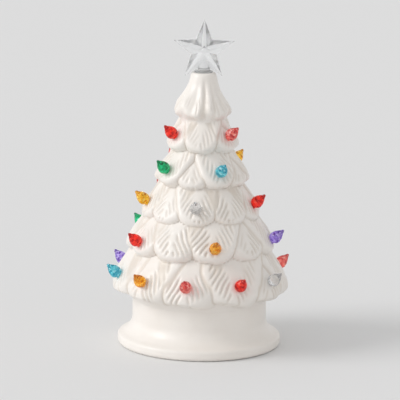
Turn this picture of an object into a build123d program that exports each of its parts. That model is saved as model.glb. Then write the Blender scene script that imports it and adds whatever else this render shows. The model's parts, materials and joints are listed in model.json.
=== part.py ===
from build123d import *
from dataclasses import dataclass
from math import cos, radians, sin, sqrt
import os

# Glazed ceramic tabletop tree with translucent bulbs, a clear star and a battery lamp base.
# Millimetres. Z is up, the origin is on the floor under the tree's axis and the front faces -Y.

# Foot and drum of the casting
lip_height = 8.2
lip_shelf = 3.1
lip_rounding = 2.8
flare_height = 10.3
flare_reach = 7.2
flare_radius = 14.0
drum_radius = 47.6
drum_height = 14.5
wall = 4.5

# Neck and mouth at the top of the casting
tree_rise = 162.2
neck_radius = 8.6
neck_foot_radius = 12.0
neck_height = 15.0
rim_rounding = 1.4
mouth_radius = 5.0
mouth_depth = 11.0

# Boughs: rounded tongues that lie on a slope and end in a half round over a flat underside
bough_slope = 53.0
crown_share = 0.15
length_share = 1.2
underside_fall = 18.0

# Carved strokes that fan out from the middle line of each bough
strokes_a_side = 5
first_stroke_share = -0.5
stroke_start_share = 0.08
stroke_drop_share = 0.85
stroke_length_share = 4.5
stroke_end_depth = 0.5
stroke_width = 5.0
stroke_height = 2.0

# Bulbs and their holes
bulb_tilt = 43.0
bulb_sides = 8
neck_clearance = 0.12
bulb_neck_radius = 2.4
bulb_neck_length = 1.4
bulb_belly_radius = 4.3
bulb_belly_rise = 2.6
bulb_shoulder_radius = 3.4
bulb_shoulder_rise = 3.8
bulb_tip_radius = 1.5
bulb_tip_rise = 3.2
bulb_nub_radius = 0.8
bulb_nub_rise = 1.7
peg_radius = 1.5
peg_length = 6.5
peg_clearance = 0.1
seat_depth = 0.9
hole_length = 28.0

# Star and its plug
star_radius = 22.3
star_waist_radius = 9.4
star_thickness = 12.0
star_edge = 2.4
leg_gap = 0.35
star_points = 5
stem_top_radius = 1.6
stem_foot_radius = 4.6
collar_overlap = 1.4
collar_thickness = 0.9
plug_length = 8.5
plug_clearance = 0.06

# Base plate, its seal and its ledge in the foot
plate_recess = 1.6
ledge_width = 3.7
seal_thickness = 0.8
seal_margin = 0.5
plate_thickness = 3.6
plate_clearance = 0.4

# Cells and the well that holds them
cell_length = 44.5
cell_radius = 5.25
cell_nub_radius = 1.9
cell_nub_length = 0.8
cell_edge = 0.5
cell_count = 3
cell_clearance = 0.4
well_wall = 1.6

# Contacts
contact_thickness = 0.5
contact_width = 7.5
contact_height = 8.0
leaf_reach = 2.6
leaf_thickness = 0.4
leaf_foot = 1.0
leaf_gap = 0.05

# Battery door, its hinge and finger notch
door_thickness = 2.4
door_overlap = 1.4
door_gap = 0.3
door_lift_gap = 0.1
pin_radius = 0.6
pin_length = 6.0
pin_clearance = 0.05
notch_radius = 5.0
notch_depth = 2.0

# Slide switch
switch_margin = 4.6
switch_wall = 1.2
switch_travel = 4.0
switch_gap = 0.3
knob_length = 4.0
knob_width = 3.6
knob_floor_gap = 0.6
knob_flange_length = 7.6
knob_flange_width = 5.2
knob_flange_thickness = 1.4
knob_flange_gap = 0.1
switch_headroom = 2.6

# Lamp post, board, lamps and diffuser
post_radius = 5.5
post_bore_radius = 4.0
post_foot_radius = 9.0
post_foot_thickness = 2.0
post_height = 60.0
post_collar_thickness = 2.0
board_margin = 1.0
board_thickness = 1.6
lamp_count = 3
lamp_radius = 2.5
lamp_height = 8.0
lamp_circle_radius = 4.9
diffuser_wall = 1.2
diffuser_headroom = 10.4
diffuser_margin = 0.5
board_gap = 0.4

# Leads from the switch to the board
lead_radius = 0.7
lead_spacing = 3.0
lead_bend = 4.0
lead_rise = 6.0
lead_set_in = 1.2
lead_clearance = 0.5


@dataclass(frozen=True)
class Tier:
    """One ring of boughs, with its noses' height above the drum.

    Each bough is its azimuth from the front, positive to the right, its lean, its lift and its bulb's colour.
    """

    nose_radius: float
    nose_rise: float
    half_width: float
    crease_depth: float
    bough_depth: float
    edge_rounding: float
    nose_cut: float
    bulb_setback: float
    stroke_pitch: float
    stroke_angle: float
    stroke_spread: float
    boughs: tuple


tiers = (
    Tier(nose_radius=63.2, nose_rise=9.8, half_width=25.0, crease_depth=10.0, bough_depth=17.0,
         edge_rounding=6.5, nose_cut=3.3, bulb_setback=12.0, stroke_pitch=3.5, stroke_angle=25,
         stroke_spread=17.5,
         boughs=((-153, 8, 0.2, "red"), (-115, -6, -0.2, "purple"), (-73, -6, 0.3, "cyan"),
                 (-42, 2, 0.0, "amber"), (-9, 4, -0.4, "pink"), (27, 14, 0.5, "red"), (57, 9, -0.4, "clear"),
                 (85, -5, 0.4, None), (111, 7, -0.3, "pink"), (137, -8, 0.3, "green"),
                 (169, 5, 0.0, "yellow"))),
    Tier(nose_radius=53.0, nose_rise=39.0, half_width=18.5, crease_depth=8.5, bough_depth=13.0,
         edge_rounding=4.2, nose_cut=0.0, bulb_setback=7.0, stroke_pitch=3.4, stroke_angle=31,
         stroke_spread=15.0,
         boughs=((-168, 6, 0.0, "yellow"), (-127, -7, 0.3, "green"), (-92, 5, 0.2, None),
                 (-58, -4, -0.4, "red"), (-24, 1, 0.0, None), (11, 12, 0.6, "amber"),
                 (45, 8, -1.0, None), (78, -5, 0.2, "purple"), (116, 9, -0.6, None), (154, -6, 0.2, "cyan"))),
    Tier(nose_radius=42.7, nose_rise=62.2, half_width=15.5, crease_depth=7.5, bough_depth=11.0,
         edge_rounding=3.5, nose_cut=0.0, bulb_setback=10.0, stroke_pitch=3.1, stroke_angle=28,
         stroke_spread=12.3,
         boughs=((-176, -5, 0.2, "cyan"), (-138, 7, -0.2, "pink"), (-108, -6, 0.3, None),
                 (-76, -5, 0.2, "yellow"), (-40, 5, -0.4, None), (-5, -3, 0.4, "clear"),
                 (33, 7, 0.2, None), (71, -6, -0.3, "red"), (108, 5, 0.4, None), (146, -8, 0.0, "purple"))),
    Tier(nose_radius=34.0, nose_rise=87.3, half_width=13.2, crease_depth=6.5, bough_depth=10.0,
         edge_rounding=3.0, nose_cut=0.0, bulb_setback=9.0, stroke_pitch=2.9, stroke_angle=25,
         stroke_spread=10.4,
         boughs=((-144, 6, 0.1, "red"), (-98, -6, -0.2, None), (-52, 7, 0.5, "green"), (-14, 0, -1.2, None),
                 (24, -4, 0.5, "cyan"), (60, 8, -0.5, None), (96, -5, 0.2, None), (132, 6, -0.2, "yellow"),
                 (173, -4, 0.3, None))),
    Tier(nose_radius=26.2, nose_rise=111.0, half_width=12.4, crease_depth=6.0, bough_depth=10.0,
         edge_rounding=2.8, nose_cut=0.0, bulb_setback=9.0, stroke_pitch=2.7, stroke_angle=21,
         stroke_spread=10.4,
         boughs=((-157, 5, 0.2, "amber"), (-108, -6, -0.3, None), (-58, -4, 0.1, "red"), (-3, 4, 0.5, None),
                 (53, 6, -0.2, "pink"), (104, -5, 0.3, None), (154, 4, 0.0, "green"))),
    Tier(nose_radius=20.9, nose_rise=134.1, half_width=11.0, crease_depth=6.2, bough_depth=10.0,
         edge_rounding=2.5, nose_cut=0.0, bulb_setback=9.0, stroke_pitch=2.5, stroke_angle=12,
         stroke_spread=9.0,
         boughs=((-140, 4, -0.2, None), (-80, -3, 0.0, None), (-20, 4, 0.2, None), (40, -4, 0.0, None),
                 (100, 5, -0.2, None), (160, -4, 0.2, None))),
)

# Sizes that follow from the ones above
flare_foot_radius = drum_radius + flare_reach
lip_radius = flare_foot_radius + lip_shelf
flare_top = lip_height + flare_height
drum_top = flare_top + drum_height
tree_top = drum_top + tree_rise
inner_drum_radius = drum_radius - wall
plate_radius = inner_drum_radius + ledge_width
plate_top = plate_recess + plate_thickness
ledge_height = plate_top + seal_thickness
door_top = plate_recess + door_thickness
well_length = cell_length + contact_thickness + leaf_reach
well_width = cell_count * 2 * cell_radius + (cell_count + 1) * cell_clearance
cell_height = door_top + door_lift_gap + cell_clearance + cell_radius
well_ceiling = cell_height + cell_radius + cell_clearance
well_top = well_ceiling + well_wall
cell_pitch = 2 * cell_radius + cell_clearance
door_length = well_length + 2 * door_overlap
door_width = well_width + 2 * door_overlap
hinge_place = (door_thickness - door_width) / 2
hinge_height = plate_recess + door_thickness / 2
switch_top = plate_top + knob_flange_gap + knob_flange_thickness + switch_headroom + switch_wall
switch_place = door_width / 2 + notch_radius + switch_margin
post_top = well_top + post_height
board_top = post_top + board_thickness
board_radius = lamp_circle_radius + lamp_radius + board_margin
diffuser_radius = board_radius + board_gap + diffuser_wall
diffuser_height = board_thickness + lamp_height + diffuser_headroom
lead_height = well_top + post_foot_thickness + lead_rise
leg_angle = radians(180 / star_points)
leg_fall = (star_radius * cos(leg_angle) - star_waist_radius) / (star_radius * sin(leg_angle))
star_height = tree_top + leg_gap + star_waist_radius + leg_fall * neck_radius
tip_cosine = cos(radians(bough_slope))
tip_sine = sin(radians(bough_slope))
standing = (Align.CENTER, Align.CENTER, Align.MIN)
hanging = (Align.CENTER, Align.CENTER, Align.MAX)


def nose_height(tier):
    """Height of a tier's noses above the floor."""
    return drum_top + tier.nose_rise


def revolved(face):
    """Solid turned about the tree's axis from a face drawn as radius and height."""
    return revolve(Plane.XZ * face, Axis.Z)


def corner(face, radius, height):
    """The vertex of a drawn face nearest to a point."""
    return face.vertices().sort_by_distance((radius, height, 0))[0]


def outward(azimuth):
    """Unit vector that points away from the axis at an azimuth counted from the front."""
    return Vector(sin(radians(azimuth)), -cos(radians(azimuth)), 0)


def crown_radius(tier):
    """Radius of the arc across a bough's crown."""
    crown = crown_share * tier.half_width
    return (tier.half_width**2 + crown**2) / (2 * crown)


def tip_centre(tier):
    """Radius and height of the centre of a bough's half-round end, on its crown."""
    rounding = tier.edge_rounding
    crown = crown_radius(tier)
    along = tier.half_width - rounding + rounding * tip_cosine
    drop = crown - sqrt((crown - rounding) ** 2 - (tier.half_width - rounding) ** 2) - rounding * tip_sine
    radius = tier.nose_radius - along * tip_cosine + drop * tip_sine
    return radius, nose_height(tier) + along * tip_sine + drop * tip_cosine


def crown_sag(tier, reach):
    """Fall of a bough's crown at a distance from its middle."""
    crown = crown_radius(tier)
    return crown - sqrt(crown**2 - reach**2)


def underside(tier):
    """Block under a bough that cuts its rounded nose off flat, in the bough's frame."""
    rounding = tier.edge_rounding
    crown = crown_radius(tier)
    back = rounding - tier.half_width
    tilt = radians(bough_slope + underside_fall)
    centre = (0, back, sqrt((crown - rounding) ** 2 - back**2) - crown)
    face = Plane(origin=centre, x_dir=(1, 0, 0), z_dir=(0, -sin(tilt), -cos(tilt)))
    reach = 2 * (tier.bough_depth + (1 + length_share) * tier.half_width)
    lowered = face.offset(rounding - tier.nose_cut * sin(tilt))
    return lowered.location * Box(reach, reach, reach, align=standing)


def stroke_end(tier, offset):
    """Place along a stroke where it ends: at the bough's side or on the ellipse round its nose."""
    slant = radians(tier.stroke_angle)
    wide = tier.stroke_spread
    high = stroke_drop_share * tier.half_width
    along = (wide - offset * cos(slant)) / sin(slant)
    if offset * sin(slant) > along * cos(slant):
        return along
    square = (sin(slant) / wide) ** 2 + (cos(slant) / high) ** 2
    linear = (wide**-2 - high**-2) * sin(slant) * cos(slant) * offset
    rest = ((cos(slant) / wide) ** 2 + (sin(slant) / high) ** 2) * offset**2 - 1
    return (sqrt(linear**2 - square * rest) - linear) / square


def stroke(tier, side, number):
    """Wedge that carves one stroke beside a bough's middle line, in the bough's frame."""
    slant = radians(tier.stroke_angle)
    offset = (number + first_stroke_share) * tier.stroke_pitch
    last = stroke_end(tier, offset)
    first = (stroke_start_share * tier.half_width - offset * cos(slant)) / sin(slant)
    first = max(first, last - stroke_length_share * tier.stroke_pitch)
    ends = []
    for along, depth in ((first, 0), (last, stroke_end_depth)):
        across = offset * cos(slant) + along * sin(slant)
        up = offset * sin(slant) - along * cos(slant)
        sag = crown_sag(tier, sqrt(across**2 + min(up, 0) ** 2))
        ends.append(Vector(side * across, up, -sag - depth))
    run = ends[0] - ends[1]
    frame = Plane(origin=ends[1], x_dir=Vector(0, 0, 1).cross(run), z_dir=run)
    half = stroke_width / 2
    wedge = make_face(Polyline((0, 0), (half, stroke_height), (-half, stroke_height), close=True))
    return extrude(frame * wedge, amount=run.length)


def bough(tier):
    """A bough in its own frame: X across, Y up the slope, Z out of the slope, origin on the tip centre."""
    width = tier.half_width
    depth = tier.bough_depth
    crown = crown_share * width
    arc = RadiusArc((-width, -crown), (0, 0), crown_radius(tier))
    sides = Polyline((0, 0), (0, -depth), (-width, -depth), (-width, -crown))
    half = make_face(arc + sides)
    half = fillet(corner(half, -width, -crown), tier.edge_rounding)
    end = revolve(Plane.XZ * half, Axis.Z, revolution_arc=180)
    section = Plane.XZ * half + Plane.XZ * mirror(half, Plane.YZ)
    return end + extrude(section, amount=-length_share * width) - underside(tier)


def bough_frame(tier, azimuth, lean, lift):
    """Frame of a bough on the tree."""
    radius, height = tip_centre(tier)
    away = outward(azimuth)
    side = Vector(-away.Y, away.X, 0)
    normal = away * tip_sine + Vector(0, 0, tip_cosine)
    upward = normal.cross(side)
    across = side * cos(radians(lean)) - upward * sin(radians(lean))
    return Plane(origin=away * radius + Vector(0, 0, height) + normal * lift, x_dir=across, z_dir=normal)


def bulb_frame(tier, azimuth, lift):
    """Frame of a bulb: origin on the floor of its seat, Z along the bulb."""
    reach = tier.bulb_setback - tier.half_width
    place = Vector(0, reach, -crown_sag(tier, min(reach, 0)))
    on_crown = bough_frame(tier, azimuth, 0, lift).from_local_coords(place)
    away = outward(azimuth)
    axis = away * cos(radians(bulb_tilt)) + Vector(0, 0, sin(radians(bulb_tilt)))
    return Plane(origin=on_crown - axis * seat_depth, x_dir=Vector(-away.Y, away.X, 0), z_dir=axis)


def casting_core():
    """Solid of revolution under the boughs: foot, drum, cone and neck."""
    foot = Polyline((0, 0), (lip_radius, 0), (lip_radius, lip_height), (flare_foot_radius, lip_height))
    flare = RadiusArc((flare_foot_radius, lip_height), (drum_radius, flare_top), flare_radius)
    cone = [(tier.nose_radius - tier.crease_depth, nose_height(tier)) for tier in tiers]
    neck = [(neck_foot_radius, tree_top - neck_height), (neck_radius, tree_top), (0, tree_top), (0, 0)]
    upper = Polyline((drum_radius, flare_top), (drum_radius, drum_top), *cone, *neck)
    face = make_face(foot + flare + upper)
    lip = [corner(face, lip_radius, 0), corner(face, lip_radius, lip_height)]
    face = fillet(lip, lip_rounding)
    return revolved(fillet(corner(face, neck_radius, tree_top), rim_rounding))


def casting_hollow():
    """Space inside the casting, with the plate's seat below and the star's mouth above."""
    seat_radius = plate_radius + plate_clearance
    seat = [(0, 0), (seat_radius, 0), (seat_radius, ledge_height), (inner_drum_radius, ledge_height)]
    cone = [(tier.nose_radius - tier.crease_depth - wall, nose_height(tier)) for tier in tiers]
    mouth = [(mouth_radius, tree_top - mouth_depth), (mouth_radius, tree_top), (0, tree_top)]
    return revolved(make_face(Polyline(*seat, (inner_drum_radius, drum_top), *cone, *mouth, close=True)))


def bulb_hole():
    """Seat and peg hole of a bulb in the bulb's frame."""
    seat_height = bulb_neck_length + seat_depth
    seat = Cylinder(bulb_neck_radius + neck_clearance, seat_height, align=standing)
    hole = Cylinder(peg_radius + peg_clearance, hole_length, align=hanging)
    return seat + hole


def bulb():
    """Faceted drop with a round neck and a peg, in its own frame."""
    stations = (
        (bulb_neck_radius, bulb_neck_length),
        (bulb_belly_radius, bulb_belly_rise),
        (bulb_shoulder_radius, bulb_shoulder_rise),
        (bulb_tip_radius, bulb_tip_rise),
        (bulb_nub_radius, bulb_nub_rise),
    )
    height = 0
    rings = []
    for radius, rise in stations:
        height += rise
        rings.append(Pos(0, 0, height) * RegularPolygon(radius, bulb_sides))
    drop = loft(rings, ruled=True)
    neck = Cylinder(bulb_neck_radius, bulb_neck_length, align=standing)
    peg = Cylinder(peg_radius, peg_length, align=hanging)
    return drop + neck + peg


def tree_shell():
    """The one-piece ceramic casting."""
    solid = casting_core()
    tools = []
    drill = bulb_hole()
    for tier in tiers:
        tongue = bough(tier)
        wedges = [stroke(tier, side, number) for side in (-1, 1) for number in range(strokes_a_side)]
        frames = [bough_frame(tier, *place[:3]).location for place in tier.boughs]
        solid += [frame * tongue for frame in frames]
        tools += [frame * wedge for frame in frames for wedge in wedges]
        lit = [(azimuth, lift) for azimuth, lean, lift, colour in tier.boughs if colour]
        tools += [bulb_frame(tier, azimuth, lift).location * drill for azimuth, lift in lit]
    carved = solid - casting_hollow() - tools
    return max(carved.solids(), key=lambda piece: piece.volume)


def star():
    """Ridged clear star with a tapered stem and a round plug for the mouth."""
    outline = []
    for index in range(2 * star_points):
        angle = 90 + index * 180 / star_points
        radius = star_waist_radius if index % 2 else star_radius
        outline.append((radius * cos(radians(angle)), radius * sin(radians(angle))))
    flat = make_face(Polyline(*outline, close=True))
    edge_face = Plane.XZ.offset(star_edge / 2) * flat
    front = loft([edge_face.face(), Vertex(0, -star_thickness / 2, 0)], ruled=True)
    edge = extrude(Plane.XZ * flat, amount=star_edge / 2, both=True)
    body = Pos(0, 0, star_height) * (edge + front + mirror(front, Plane.XZ))
    collar_top = tree_top + collar_thickness
    collar_radius = mouth_radius + collar_overlap
    plug_radius = mouth_radius - plug_clearance
    stem = Polyline(
        (0, tree_top - plug_length),
        (plug_radius, tree_top - plug_length),
        (plug_radius, tree_top),
        (collar_radius, tree_top),
        (collar_radius, collar_top),
        (stem_foot_radius, collar_top),
        (stem_top_radius, star_height),
        (0, star_height),
        close=True,
    )
    return body + revolved(make_face(stem))


def block(length, width, low, high, across=0, along=0):
    """Box between two heights, centred on a place in plan."""
    return Pos(across, along, low) * Box(length, width, high - low, align=standing)


def disc(radius, low, high):
    """Round disc on the axis between two heights."""
    return Pos(0, 0, low) * Cylinder(radius, high - low, align=standing)


def hinge_pin(side, radius):
    """Stub on the door's hinge axis, half in the door and half in the plate, at one end of the door."""
    place = side * (door_length + door_gap) / 2
    return Pos(place, hinge_place, hinge_height) * Rot(0, 90, 0) * Cylinder(radius, pin_length)


def plate_seal():
    """Foam ring that bonds the plate to the casting's ledge."""
    ring = disc(plate_radius - seal_margin, plate_top, ledge_height)
    return ring - disc(inner_drum_radius + seal_margin, plate_top, ledge_height)


def base_plate():
    """Moulded plate with the cell well, the door's recess, a finger notch and the switch slot."""
    plate = disc(plate_radius, plate_recess, plate_top)
    plate += block(well_length + 2 * well_wall, well_width + 2 * well_wall, plate_top, well_top)
    plate -= block(well_length, well_width, plate_recess, well_ceiling)
    recess_top = door_top + door_lift_gap
    plate -= block(door_length + 2 * door_gap, door_width + 2 * door_gap, plate_recess, recess_top)
    notch = disc(notch_radius, plate_recess, plate_recess + notch_depth)
    plate -= Pos(0, door_width / 2, 0) * notch
    slot_length = knob_length + switch_travel + 2 * switch_gap
    plate -= block(slot_length, knob_width + 2 * switch_gap, plate_recess, plate_top, along=switch_place)
    return plate - [hinge_pin(side, pin_radius + pin_clearance) for side in (-1, 1)]


def battery_door():
    """Flush door with a round hinge edge."""
    panel_width = door_width / 2 - hinge_place
    panel = block(door_length, panel_width, plate_recess, door_top, along=hinge_place + panel_width / 2)
    edge = Pos(0, hinge_place, hinge_height) * Rot(0, 90, 0) * Cylinder(door_thickness / 2, door_length)
    return panel + edge - [hinge_pin(side, pin_radius + pin_clearance) for side in (-1, 1)]


def cell():
    """AAA cell along X with its positive end at +X and its length centred."""
    can = Cylinder(cell_radius, cell_length - cell_nub_length, align=standing)
    can = fillet(can.edges().filter_by(GeomType.CIRCLE), cell_edge)
    nub = Cylinder(cell_nub_radius, cell_length, align=standing)
    return Rot(0, 90, 0) * Pos(0, 0, -cell_length / 2) * (can + nub)


def plate_contact():
    """Flat contact for a cell's positive end, with its back at X = 0."""
    sheet = Box(contact_thickness, contact_width, contact_height)
    return Pos(-contact_thickness / 2, 0, 0) * sheet


def leaf_contact():
    """Bowed leaf for a cell's negative end, with its feet at X = 0."""
    half = contact_height / 2
    reach = leaf_reach - leaf_gap
    bow = ThreePointArc((0, -half), (reach, 0), (0, half))
    hollow = ThreePointArc((0, half - leaf_foot), (reach - leaf_thickness, 0), (0, leaf_foot - half))
    feet = Line((0, half), (0, half - leaf_foot)) + Line((0, leaf_foot - half), (0, -half))
    return extrude(Plane.XZ * make_face(bow + hollow + feet), amount=contact_width / 2, both=True)


def cell_row(index):
    """Frame of a cell in the well. Every other cell is turned end for end."""
    place = (index - (cell_count - 1) / 2) * cell_pitch
    return Pos(0, place, cell_height) * Rot(0, 0, 180 * (index % 2))


def switch_housing():
    """Cover over the switch slot, open below."""
    length = knob_flange_length + switch_travel + 2 * switch_gap
    width = knob_flange_width + 2 * switch_gap
    cover_width = width + 2 * switch_wall
    cover = block(length + 2 * switch_wall, cover_width, plate_top, switch_top, along=switch_place)
    return cover - block(length, width, plate_top, switch_top - switch_wall, along=switch_place)


def switch_knob():
    """Sliding knob at its off end, with a flange inside the housing."""
    place = -switch_travel / 2
    flange_low = plate_top + knob_flange_gap
    flange_high = flange_low + knob_flange_thickness
    flange = block(knob_flange_length, knob_flange_width, flange_low, flange_high, place, switch_place)
    return flange + block(knob_length, knob_width, knob_floor_gap, flange_low, place, switch_place)


def lamp_post():
    """Tube on the well's roof with a foot, a collar and a way in for the leads."""
    tube = disc(post_radius, well_top, post_top)
    tube += disc(post_foot_radius, well_top, well_top + post_foot_thickness)
    rim_radius = diffuser_radius + diffuser_margin
    tube += disc(rim_radius, post_top - post_collar_thickness, post_top)
    tube -= disc(post_bore_radius, well_top, post_top)
    slot_width = lead_spacing + 2 * (lead_radius + lead_clearance)
    slot_low = lead_height - lead_radius - lead_clearance
    slot_high = lead_height + lead_radius + lead_clearance
    return tube - block(slot_width, post_radius, slot_low, slot_high, along=post_radius / 2)


def lamp(index):
    """Domed lamp on the board."""
    turn = Rot(0, 0, index * 360 / lamp_count)
    body = Cylinder(lamp_radius, lamp_height - lamp_radius, align=standing)
    dome = Pos(0, 0, lamp_height - lamp_radius) * Sphere(lamp_radius)
    return turn * Pos(0, lamp_circle_radius, board_top) * (body + dome)


def thimble(radius, height):
    """Solid with straight sides and a round top that stands on the post."""
    straight = disc(radius, post_top, post_top + height - radius)
    return straight + Pos(0, 0, post_top + height - radius) * Sphere(radius)


def diffuser():
    """Frosted cover over the lamps."""
    inside = thimble(diffuser_radius - diffuser_wall, diffuser_height - diffuser_wall)
    return thimble(diffuser_radius, diffuser_height) - inside


def lead(side):
    """Insulated lead from the switch into the post and up to the board."""
    place = side * lead_spacing / 2
    route = FilletPolyline(
        (place, switch_place, switch_top),
        (place, switch_place, lead_height),
        (place, lead_set_in, lead_height),
        (place, lead_set_in, post_top),
        radius=lead_bend,
    )
    start = Plane(origin=route @ 0, z_dir=route % 0)
    return sweep(start * Circle(lead_radius), path=route)


nodes = {
    "tree_shell": tree_shell(),
    "star": star(),
    "base_plate": base_plate(),
    "plate_seal": plate_seal(),
    "battery_door": battery_door(),
    "switch_housing": switch_housing(),
    "switch_knob": switch_knob(),
    "lamp_post": lamp_post(),
    "lamp_board": disc(board_radius, post_top, board_top),
    "diffuser": diffuser(),
}
for number, side in enumerate((-1, 1), 1):
    nodes[f"door_pin_{number}"] = hinge_pin(side, pin_radius)
    nodes[f"lead_{number}"] = lead(side)
for index in range(lamp_count):
    nodes[f"lamp_{index + 1}"] = lamp(index)
for index in range(cell_count):
    row = cell_row(index)
    nodes[f"cell_{index + 1}"] = row * Pos((leaf_reach - contact_thickness) / 2, 0, 0) * cell()
    nodes[f"plate_contact_{index + 1}"] = row * Pos(well_length / 2, 0, 0) * plate_contact()
    nodes[f"leaf_contact_{index + 1}"] = row * Pos(-well_length / 2, 0, 0) * leaf_contact()
lit_boughs = [(tier, *place) for tier in tiers for place in tier.boughs if place[-1]]
for number, (tier, azimuth, lean, lift, colour) in enumerate(lit_boughs, 1):
    nodes[f"bulb_{number:02d}_{colour}"] = bulb_frame(tier, azimuth, lift).location * bulb()

os.makedirs("parts", exist_ok=True)
for name, solid in nodes.items():
    export_step(solid, f"parts/{name}.step")
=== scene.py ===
"""Dresses the glazed tabletop tree: carved casting, faceted bulbs, clear star and battery base."""

import json
import logging
import math
from dataclasses import dataclass
from enum import Enum
from functools import cache

import bpy
import numpy as np
from mathutils import Matrix, Vector

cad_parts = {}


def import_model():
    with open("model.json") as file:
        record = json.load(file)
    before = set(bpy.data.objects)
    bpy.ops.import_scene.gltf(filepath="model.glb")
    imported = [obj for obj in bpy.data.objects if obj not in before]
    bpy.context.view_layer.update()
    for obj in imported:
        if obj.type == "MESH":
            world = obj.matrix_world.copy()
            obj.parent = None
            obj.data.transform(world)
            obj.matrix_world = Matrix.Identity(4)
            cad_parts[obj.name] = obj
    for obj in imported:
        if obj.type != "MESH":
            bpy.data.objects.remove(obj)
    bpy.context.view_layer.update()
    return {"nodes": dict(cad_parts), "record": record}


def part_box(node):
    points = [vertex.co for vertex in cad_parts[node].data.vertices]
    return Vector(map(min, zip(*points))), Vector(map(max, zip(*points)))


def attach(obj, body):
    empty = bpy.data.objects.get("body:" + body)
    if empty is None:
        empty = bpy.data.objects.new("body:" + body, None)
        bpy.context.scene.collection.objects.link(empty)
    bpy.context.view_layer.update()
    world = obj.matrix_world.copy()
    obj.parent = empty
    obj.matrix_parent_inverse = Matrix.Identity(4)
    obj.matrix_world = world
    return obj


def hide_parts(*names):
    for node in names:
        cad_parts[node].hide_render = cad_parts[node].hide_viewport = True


LOG = logging.getLogger("ceramic_tree")
MM = 0.001
CLOUD_RANGE = (0.3, 0.7)
PLASTIC_IOR = 1.49
Triple = tuple[float, float, float]
Colour = Triple
Span = tuple[float, float]
Outline = list[tuple[float, float]]
Faces = list[tuple[int, ...]]
Socket = bpy.types.NodeSocket


def smooth_step(low: float | np.ndarray, high: float | np.ndarray, value: np.ndarray) -> np.ndarray:
    """Soft step from 0 at low to 1 at high.

    Args:
        low: Where the step starts.
        high: Where the step ends.
        value: Numbers to step on.

    Returns:
        Numbers from 0 to 1.
    """
    share = np.clip((value - low) / (high - low), 0.0, 1.0)
    return share * share * (3.0 - 2.0 * share)


def soft_union(first: np.ndarray, second: np.ndarray, width: float) -> np.ndarray:
    """Least of two distance fields with a rounded crease.

    Args:
        first: Distances to one form.
        second: Distances to the other form.
        width: Distance over which the two forms flow together.

    Returns:
        Distances to the joined form.
    """
    share = np.clip(0.5 + 0.5 * (first - second) / width, 0.0, 1.0)
    return first * (1.0 - share) + second * share - width * share * (1.0 - share)


def soft_cut(first: np.ndarray, second: np.ndarray, width: float) -> np.ndarray:
    """Greatest of two distance fields with a rounded edge.

    Args:
        first: Distances to one form.
        second: Distances to the other form.
        width: Distance over which the edge is rounded.

    Returns:
        Distances to what both forms share.
    """
    return -soft_union(-first, -second, width)


class Nodes:
    """A node tree with short ways to add and join its nodes."""

    def __init__(self, tree: bpy.types.NodeTree) -> None:
        """Takes over a node tree.

        Args:
            tree: Nodes of a material or of the room.
        """
        self.tree = tree

    def add(self, kind: str, **settings: object) -> bpy.types.Node:
        """Adds a node and sets its own properties.

        Args:
            kind: Node type.
            settings: Properties of the node.

        Returns:
            The new node.
        """
        node = self.tree.nodes.new(kind)
        for key, value in settings.items():
            setattr(node, key, value)
        return node

    def join(self, source: Socket, target: Socket) -> None:
        """Links two sockets."""
        self.tree.links.new(source, target)

    def combine(self, operation: str, first: Socket, second: Socket) -> Socket:
        """Works out one value from two.

        Args:
            operation: Operation of the math node.
            first: One value.
            second: The other value.

        Returns:
            Socket with the result.
        """
        node = self.add("ShaderNodeMath", operation=operation)
        self.join(first, node.inputs[0])
        self.join(second, node.inputs[1])
        return node.outputs[0]

    def span(self, source: Socket, given: Span, wanted: Span) -> Socket:
        """Maps one range of numbers to another.

        Args:
            source: Socket to map.
            given: Ends of the range that comes in.
            wanted: Ends of the range that goes out.

        Returns:
            Socket with the mapped numbers.
        """
        node = self.add("ShaderNodeMapRange")
        self.join(source, node.inputs["Value"])
        for key, value in zip(("From Min", "From Max", "To Min", "To Max"), (*given, *wanted)):
            node.inputs[key].default_value = value
        return node.outputs["Result"]


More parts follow.
